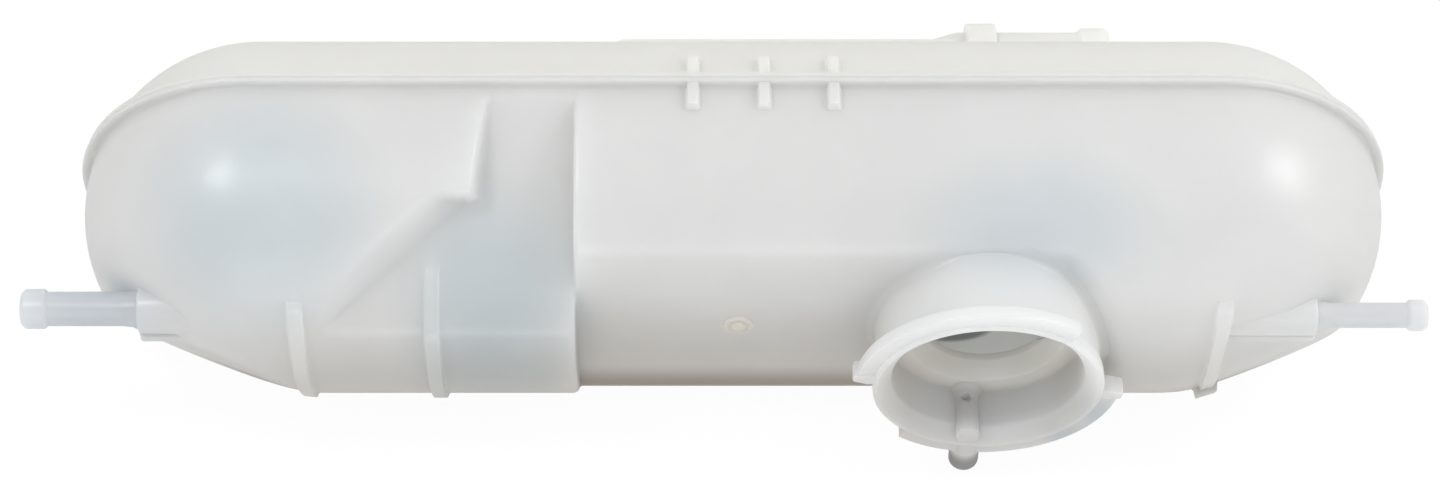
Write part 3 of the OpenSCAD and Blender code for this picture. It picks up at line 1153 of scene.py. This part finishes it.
class Tree:
    """Short hand for building a shader tree: adds nodes, sets their constants and links their sockets."""

    def __init__(self, tree: bpy.types.NodeTree) -> None:
        """Keeps the tree to build in."""
        self.tree = tree

    def fill(self, node: bpy.types.Node, values: dict[str | int, object]) -> bpy.types.Node:
        """Links or sets inputs of a node.

        Args:
            node: The node.
            values: What each input holds: an output socket to link, or a constant; a colour has three
                numbers and gets its fourth here.

        Returns:
            The same node.
        """
        for name, value in values.items():
            socket = node.inputs[name]
            if isinstance(value, bpy.types.NodeSocket):
                self.tree.links.new(value, socket)
            else:
                socket.default_value = (*value, 1.0) if socket.type == "RGBA" else value
        return node

    def add(
        self, kind: str, label: str, values: dict[str | int, object] | None = None, **settings: object
    ) -> bpy.types.Node:
        """Adds a node.

        Args:
            kind: Blender's name of the node type, without the ShaderNode in front.
            label: Name of the node in the tree.
            values: What each input holds, as in `fill`.
            settings: The node's own settings.

        Returns:
            The node.
        """
        node = self.tree.nodes.new("ShaderNode" + kind)
        node.name = node.label = label
        for name, value in settings.items():
            setattr(node, name, value)
        return self.fill(node, values or {})

    def maths(self, operation: str, label: str, *values: object) -> bpy.types.NodeSocket:
        """The result of a Math node on one to three numbers or sockets."""
        return self.add("Math", label, dict(enumerate(values)), operation=operation).outputs[0]

    def blend(
        self, way: str, label: str, share: object, first: object, second: object
    ) -> bpy.types.NodeSocket:
        """A colour mix of first with second by a share, in one of Blender's ways of mixing."""
        colours = {0: share, 6: first, 7: second}
        return self.add("Mix", label, colours, data_type="RGBA", blend_type=way).outputs[2]

    def seen(self) -> bpy.types.NodeSocket:
        """Tells which rays show a surface to the camera, straight, by a mirror or through glass.

        Returns:
            1 on those rays, else 0.
        """
        rays = self.add("LightPath", "rays").outputs
        seen = self.maths("MAXIMUM", "seen", rays["Is Camera Ray"], rays["Is Glossy Ray"])
        return self.maths("MAXIMUM", "seen through", seen, rays["Is Transmission Ray"])

    def mix_shaders(self, share: object, first: bpy.types.NodeSocket, second: bpy.types.NodeSocket) -> None:
        """Mixes two shaders by a share and sends the result to the material's surface."""
        mixed = self.add("MixShader", "mixed", {0: share, 1: first, 2: second}).outputs["Shader"]
        self.fill(self.tree.nodes["Material Output"], {"Surface": mixed})


class Kind(Enum):
    """Kinds of socket on the shared node groups."""

    NUMBER = "NodeSocketFloat"
    VECTOR = "NodeSocketVector"


def open_group(
    name: str, inputs: dict[str, Kind], outputs: tuple[str, ...]
) -> tuple[Tree, Given, bpy.types.Node]:
    """Starts a shader node group.

    Args:
        name: Name of the group.
        inputs: Kind of each input.
        outputs: Names of the outputs, all numbers.

    Returns:
        The group's tree, what its inputs give, and the node that its results go to.
    """
    group = bpy.data.node_groups.new(name, "ShaderNodeTree")
    for label, kind in inputs.items():
        group.interface.new_socket(label, in_out="INPUT", socket_type=kind.value)
    for label in outputs:
        group.interface.new_socket(label, in_out="OUTPUT", socket_type=Kind.NUMBER.value)
    into, out = group.nodes.new("NodeGroupInput"), group.nodes.new("NodeGroupOutput")
    return Tree(group), into.outputs, out


def flow_group() -> bpy.types.NodeTree:
    """Node group of what moulding leaves in pale plastic: cloudy flow and a fine grain.

    Inputs are the place and both sizes; outputs are a cloud mask and a grain height, both 0 to 1.

    Returns:
        The group.
    """
    inputs = {"Place": Kind.VECTOR, "Cloud Scale": Kind.NUMBER, "Grain Scale": Kind.NUMBER}
    tree, given, out = open_group("moulded_flow", inputs, ("Clouds", "Grain"))
    clouds = tree.add("TexNoise", "clouds", {
        "Vector": given["Place"], "Scale": given["Cloud Scale"], "Detail": 3.0,
        "Roughness": 0.45, "Distortion": 0.6,
    })
    grain = tree.add("TexNoise", "grain", {
        "Vector": given["Place"], "Scale": given["Grain Scale"], "Detail": 4.0,
    })
    tree.fill(out, {"Clouds": clouds.outputs["Fac"], "Grain": grain.outputs["Fac"]})
    return tree.tree


def patch_group() -> bpy.types.NodeTree:
    """Node group of one soft patch: 1 in its core, falling smoothly to 0 at its radii.

    With d = length((place - centre) / radii) the mask is a smooth step from d = 1 down to d = core.

    Returns:
        The group.
    """
    inputs = {name: Kind.VECTOR for name in ("Place", "Centre", "Radii")} | {"Core": Kind.NUMBER}
    tree, given, out = open_group("soft_patch", inputs, ("Mask",))
    offset = tree.add("VectorMath", "offset", {0: given["Place"], 1: given["Centre"]}, operation="SUBTRACT")
    scaled = tree.add("VectorMath", "scaled", {
        0: offset.outputs["Vector"], 1: given["Radii"],
    }, operation="DIVIDE")
    away = tree.add("VectorMath", "distance", {0: scaled.outputs["Vector"]}, operation="LENGTH")
    mask = tree.add("MapRange", "falloff", {
        "Value": away.outputs["Value"], "From Min": 1.0, "From Max": given["Core"],
    }, interpolation_type="SMOOTHSTEP")
    tree.fill(out, {"Mask": mask.outputs[0]})
    return tree.tree


@dataclass(frozen=True)
class Patch:
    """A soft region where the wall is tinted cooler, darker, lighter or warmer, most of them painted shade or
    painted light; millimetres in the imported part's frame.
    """

    name: str
    centre: Triple
    radii: Triple
    tint: Triple
    core: float = 0.25


@dataclass(frozen=True)
class MilkyPlastic:
    """Natural plastic whose wall lets light through, its colour painted by the angle of view: deeper and cooler
    face on as painted shade, whiter at the edge as painted light.
    """

    name: str
    milk: Triple
    deep: Triple
    patches: tuple[Patch, ...] = ()
    roughness: float = 0.31
    gloss: float = 0.75
    refraction: float = 1.49
    through: float = 0.52
    scatter: float = 0.6
    scatter_depth: float = 0.010
    scatter_spread: Triple = (0.9, 1.0, 1.0)
    edge_blend: float = 0.42
    edge_gain: float = 1.15
    edge_lift: float = 0.05
    cloud_gain: float = 0.5
    cloud_scale: float = 38.0
    grain_scale: float = 900.0
    grain_strength: float = 0.12
    grain_height: float = 0.0003

    def wall_colour(
        self, tree: Tree, place: bpy.types.NodeSocket, clouds: bpy.types.NodeSocket,
        patch: bpy.types.NodeTree,
    ) -> bpy.types.NodeSocket:
        """Colour of the wall: deep face on and milk towards the edge, as painted shade and light by the angle
        of view; milk also in the clouds; then each patch's tint, mostly painted shade or light.

        Args:
            tree: The material's tree.
            place: Object coordinates.
            clouds: The cloud mask.
            patch: The group of one soft patch.

        Returns:
            The colour.
        """
        # Painted light and shade: the facing blend darkens the wall seen face on and whitens it seen edge-on.
        edge = tree.add("LayerWeight", "edge", {"Blend": self.edge_blend}).outputs["Facing"]
        whiten = tree.maths("MULTIPLY_ADD", "whiten", edge, self.edge_gain, self.edge_lift)
        cloudy = tree.maths("MULTIPLY_ADD", "clouds", clouds, self.cloud_gain, whiten)
        cloudy = tree.maths("SUBTRACT", "cloudy", cloudy, self.cloud_gain / 2)
        held = tree.add("Clamp", "held", {"Value": cloudy}).outputs[0]
        colour = tree.blend("MIX", "wall", held, self.deep, self.milk)
        for one in self.patches:
            spot = tree.add("Group", one.name, {
                "Place": place, "Centre": [c * MM for c in one.centre], "Radii": [r * MM for r in one.radii],
                "Core": one.core,
            }, node_tree=patch)
            colour = tree.blend("MULTIPLY", one.name + "_tint", spot.outputs["Mask"], colour, one.tint)
        return colour

    def build(self, flow: bpy.types.NodeTree, patch: bpy.types.NodeTree) -> bpy.types.Material:
        """Makes the material from the shared groups.

        Args:
            flow: The group of clouds and grain.
            patch: The group of one soft patch.

        Returns:
            The material.
        """
        material = bpy.data.materials.new(self.name)
        material.use_nodes = True
        tree = Tree(material.node_tree)
        place = tree.add("TexCoord", "place").outputs["Object"]
        marks = tree.add("Group", "flow", {
            "Place": place, "Cloud Scale": self.cloud_scale, "Grain Scale": self.grain_scale,
        }, node_tree=flow).outputs
        colour = self.wall_colour(tree, place, marks["Clouds"], patch)
        bump = tree.add("Bump", "grain", {
            "Strength": self.grain_strength, "Distance": self.grain_height, "Height": marks["Grain"],
        })
        shader = tree.fill(material.node_tree.nodes["Principled BSDF"], {
            "Base Color": colour,
            "Normal": bump.outputs["Normal"],
            "Roughness": self.roughness,
            "IOR": self.refraction,
            "Specular IOR Level": self.gloss,
            "Subsurface Weight": self.scatter,
            "Subsurface Radius": self.scatter_spread,
            "Subsurface Scale": self.scatter_depth,
        })
        glow = tree.add("BsdfTranslucent", "through", {"Color": colour})
        tree.mix_shaders(self.through, shader.outputs["BSDF"], glow.outputs["BSDF"])
        return material


def upper_patches(tank: Tank) -> tuple[Patch, ...]:
    """The upper half's soft regions: painted cool shade on the bulb, in the hollow and beside the neck, painted
    shade on the front and under edge, the nipple's tip and the ramp, painted light inside the neck, white ribs,
    a warm feed mark and cooler stubs.

    Args:
        tank: The tank, for the places of its crown ribs.

    Returns:
        The regions, in the order in which they tint the wall.
    """
    white = (1.12, 1.12, 1.10)
    ribs = [
        Patch(f"rib_{number}", (x, -30.0, 40.0), (4.5, 26.0, 34.0), white)
        for number, x in enumerate(tank.crown_rib_x)
    ]
    return (
        # Painted cool shade in the middle of the left bulb.
        Patch("left_bulb_shade", (-122.0, -24.0, 80.0), (40.0, 40.0, 40.0), (0.87, 0.92, 0.955)),
        # Painted shade on the floor of the hollow left of the middle.
        Patch("valley_shade", (-62.0, -32.0, 48.0), (32.0, 40.0, 46.0), (0.82, 0.88, 0.92)),
        # Painted cool shade on the body beside and above the neck.
        Patch("right_cool_shade", (78.0, -26.0, 78.0), (40.0, 26.0, 20.0), (0.90, 0.94, 0.975)),
        Patch("front_shade", (-20.0, -44.0, 26.0), (260.0, 26.0, 44.0), (0.80, 0.775, 0.745)),
        # Painted shade: brown-grey darkening along the lower edge of the crown.
        Patch("under_edge_shade", (-20.0, -36.0, 8.0), (420.0, 17.0, 17.0), (0.56, 0.51, 0.44)),
        Patch("feed_mark", (1.3, -37.0, 46.0), (6.0, 6.0, 6.0), (1.10, 1.06, 0.99)),
        # Painted shade on the lower end of the overflow nipple.
        Patch("nipple_tip_shade", (62.0, -51.0, 1.0), (12.0, 12.0, 10.0), (0.46, 0.46, 0.46), 0.5),
        # Painted cool shade on the underside of the neck's lower right ramp.
        Patch("ramp_side_shade", (97.0, -53.0, 31.0), (9.0, 6.0, 13.0), (0.80, 0.85, 0.91)),
        Patch("ramp_turn_shade", (90.0, -53.0, 20.0), (12.0, 6.0, 9.0), (0.80, 0.85, 0.90)),
        # Painted light on the inner floor seen through the throat.
        Patch("throat_floor_light", (66.0, -8.0, 2.6), (40.0, 26.0, 2.2), white, 0.8),
        Patch("throat_shadow", (59.5, -6.0, 2.6), (15.5, 10.0, 2.0), (0.36, 0.37, 0.37), 0.85),
        # Painted light, slightly cool, in the lower part of the mouth, and painted light on the seat.
        Patch("mouth_floor_light", (66.0, -47.0, 23.0), (30.0, 12.0, 14.0), (1.07, 1.09, 1.13), 0.5),
        Patch("seat_ring_light", (66.0, -40.0, 46.0), (29.0, 6.0, 29.0), (1.15, 1.15, 1.12), 0.8),
        Patch("left_stub", (-166.0, -36.0, 53.6), (34.0, 12.0, 12.0), (0.81, 0.85, 0.90)),
        Patch("right_stub", (166.0, -38.4, 54.0), (30.0, 10.0, 10.0), (0.93, 0.94, 0.96)),
        *ribs,
    )


@dataclass(frozen=True)
class Lamp:
    """A soft square lamp aimed at the tank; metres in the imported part's frame."""

    name: str
    place: Triple
    size: float
    power: float

    def build(self) -> None:
        """Adds the lamp, turned so that its face looks at the origin."""
        data = bpy.data.lights.new(self.name, "AREA")
        data.size, data.energy = self.size, self.power
        lamp = bpy.data.objects.new(self.name, data)
        bpy.context.scene.collection.objects.link(lamp)
        lamp.location = self.place
        x, y, z = self.place
        lamp.rotation_euler = (math.atan2(math.hypot(x, y), z), 0.0, math.atan2(-y, -x) - math.pi / 2)


@dataclass(frozen=True)
class Studio:
    """White floor, even surroundings, soft lamps and a camera at the photograph's angle; in metres."""

    target: Triple = (-0.0035, -0.0060, 0.0381)
    distance: float = 1.0
    elevation: float = 57.0
    lens: float = 93.3
    sensor: float = 36.0
    floor_half: float = 3.0
    floor_glow: float = 0.95
    floor_grey: float = 0.9
    floor_rough: float = 0.9
    surroundings: float = 0.92
    lamps: tuple[Lamp, ...] = (
        Lamp("left", (-0.514, -0.108, 1.113), 0.24, 4.2),
        Lamp("right", (0.846, 0.060, 0.790), 0.40, 4.6),
        Lamp("top", (0.0, 0.35, 1.5), 1.6, 2.4),
        Lamp("front", (0.05, -1.15, 0.34), 0.9, 3.9),
    )

    def camera(self) -> None:
        """Camera above and in front of the tank, aimed near its middle."""
        data = bpy.data.cameras.new("camera")
        data.sensor_width, data.lens = self.sensor, self.lens
        camera = bpy.data.objects.new("camera", data)
        bpy.context.scene.collection.objects.link(camera)
        rise = math.radians(self.elevation)
        away = np.array([0.0, -math.cos(rise), math.sin(rise)])
        camera.location = np.array(self.target) + self.distance * away
        camera.rotation_euler = (math.pi / 2 - rise, 0.0, 0.0)
        bpy.context.scene.camera = camera

    def floor(self) -> None:
        """A wide floor under the tank that looks white to the camera, with a faint share of its shadow."""
        size, grey = self.floor_half, self.floor_grey
        data = bpy.data.meshes.new("floor")
        corners = [(-size, -size, 0), (size, -size, 0), (size, size, 0), (-size, size, 0)]
        data.from_pydata(corners, [], [(0, 1, 2, 3)])
        floor = bpy.data.objects.new("floor", data)
        bpy.context.scene.collection.objects.link(floor)
        material = bpy.data.materials.new("floor")
        material.use_nodes = True
        tree = Tree(material.node_tree)
        shader = tree.fill(material.node_tree.nodes["Principled BSDF"], {
            "Base Color": (grey, grey, grey), "Roughness": self.floor_rough,
        })
        share = tree.maths("MULTIPLY", "share", tree.seen(), self.floor_glow)
        white = tree.add("Emission", "white", {"Strength": 1.0})
        tree.mix_shaders(share, shader.outputs["BSDF"], white.outputs["Emission"])
        data.materials.append(material)

    def world(self) -> None:
        """Even white surroundings: plain light on the object, full white where they are seen."""
        world = bpy.data.worlds.new("studio")
        world.use_nodes = True
        tree = Tree(world.node_tree)
        level = tree.maths("MULTIPLY_ADD", "level", tree.seen(), 1.0 - self.surroundings, self.surroundings)
        tree.fill(world.node_tree.nodes["Background"], {"Color": (1.0, 1.0, 1.0), "Strength": level})
        bpy.context.scene.world = world

    def build(self) -> None:
        """Sets up everything that isn't the tank."""
        bpy.context.scene.view_settings.view_transform = "Standard"
        self.camera()
        self.floor()
        self.world()
        for lamp in self.lamps:
            lamp.build()


def report(piece: bpy.types.Object) -> None:
    """Logs a piece's name, its faces and its triangles.

    Args:
        piece: The finished piece.
    """
    polygons = piece.data.polygons
    triangles = sum(len(polygon.vertices) - 2 for polygon in polygons)
    LOG.info("%s: %d faces, %d triangles", piece.name, len(polygons), triangles)


def main() -> None:
    """Builds the studio and both halves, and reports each."""
    Studio().build()
    tank = Tank()
    flow, patch = flow_group(), patch_group()
    upper = MilkyPlastic("upper_plastic", (0.89, 0.89, 0.885), (0.735, 0.745, 0.745), upper_patches(tank))
    lower = MilkyPlastic("lower_plastic", (0.90, 0.90, 0.88), (0.86, 0.86, 0.835))
    report(tank.upper_half(upper.build(flow, patch)))
    report(tank.lower_half(lower.build(flow, patch)))


if __name__ == "__main__":
    main()
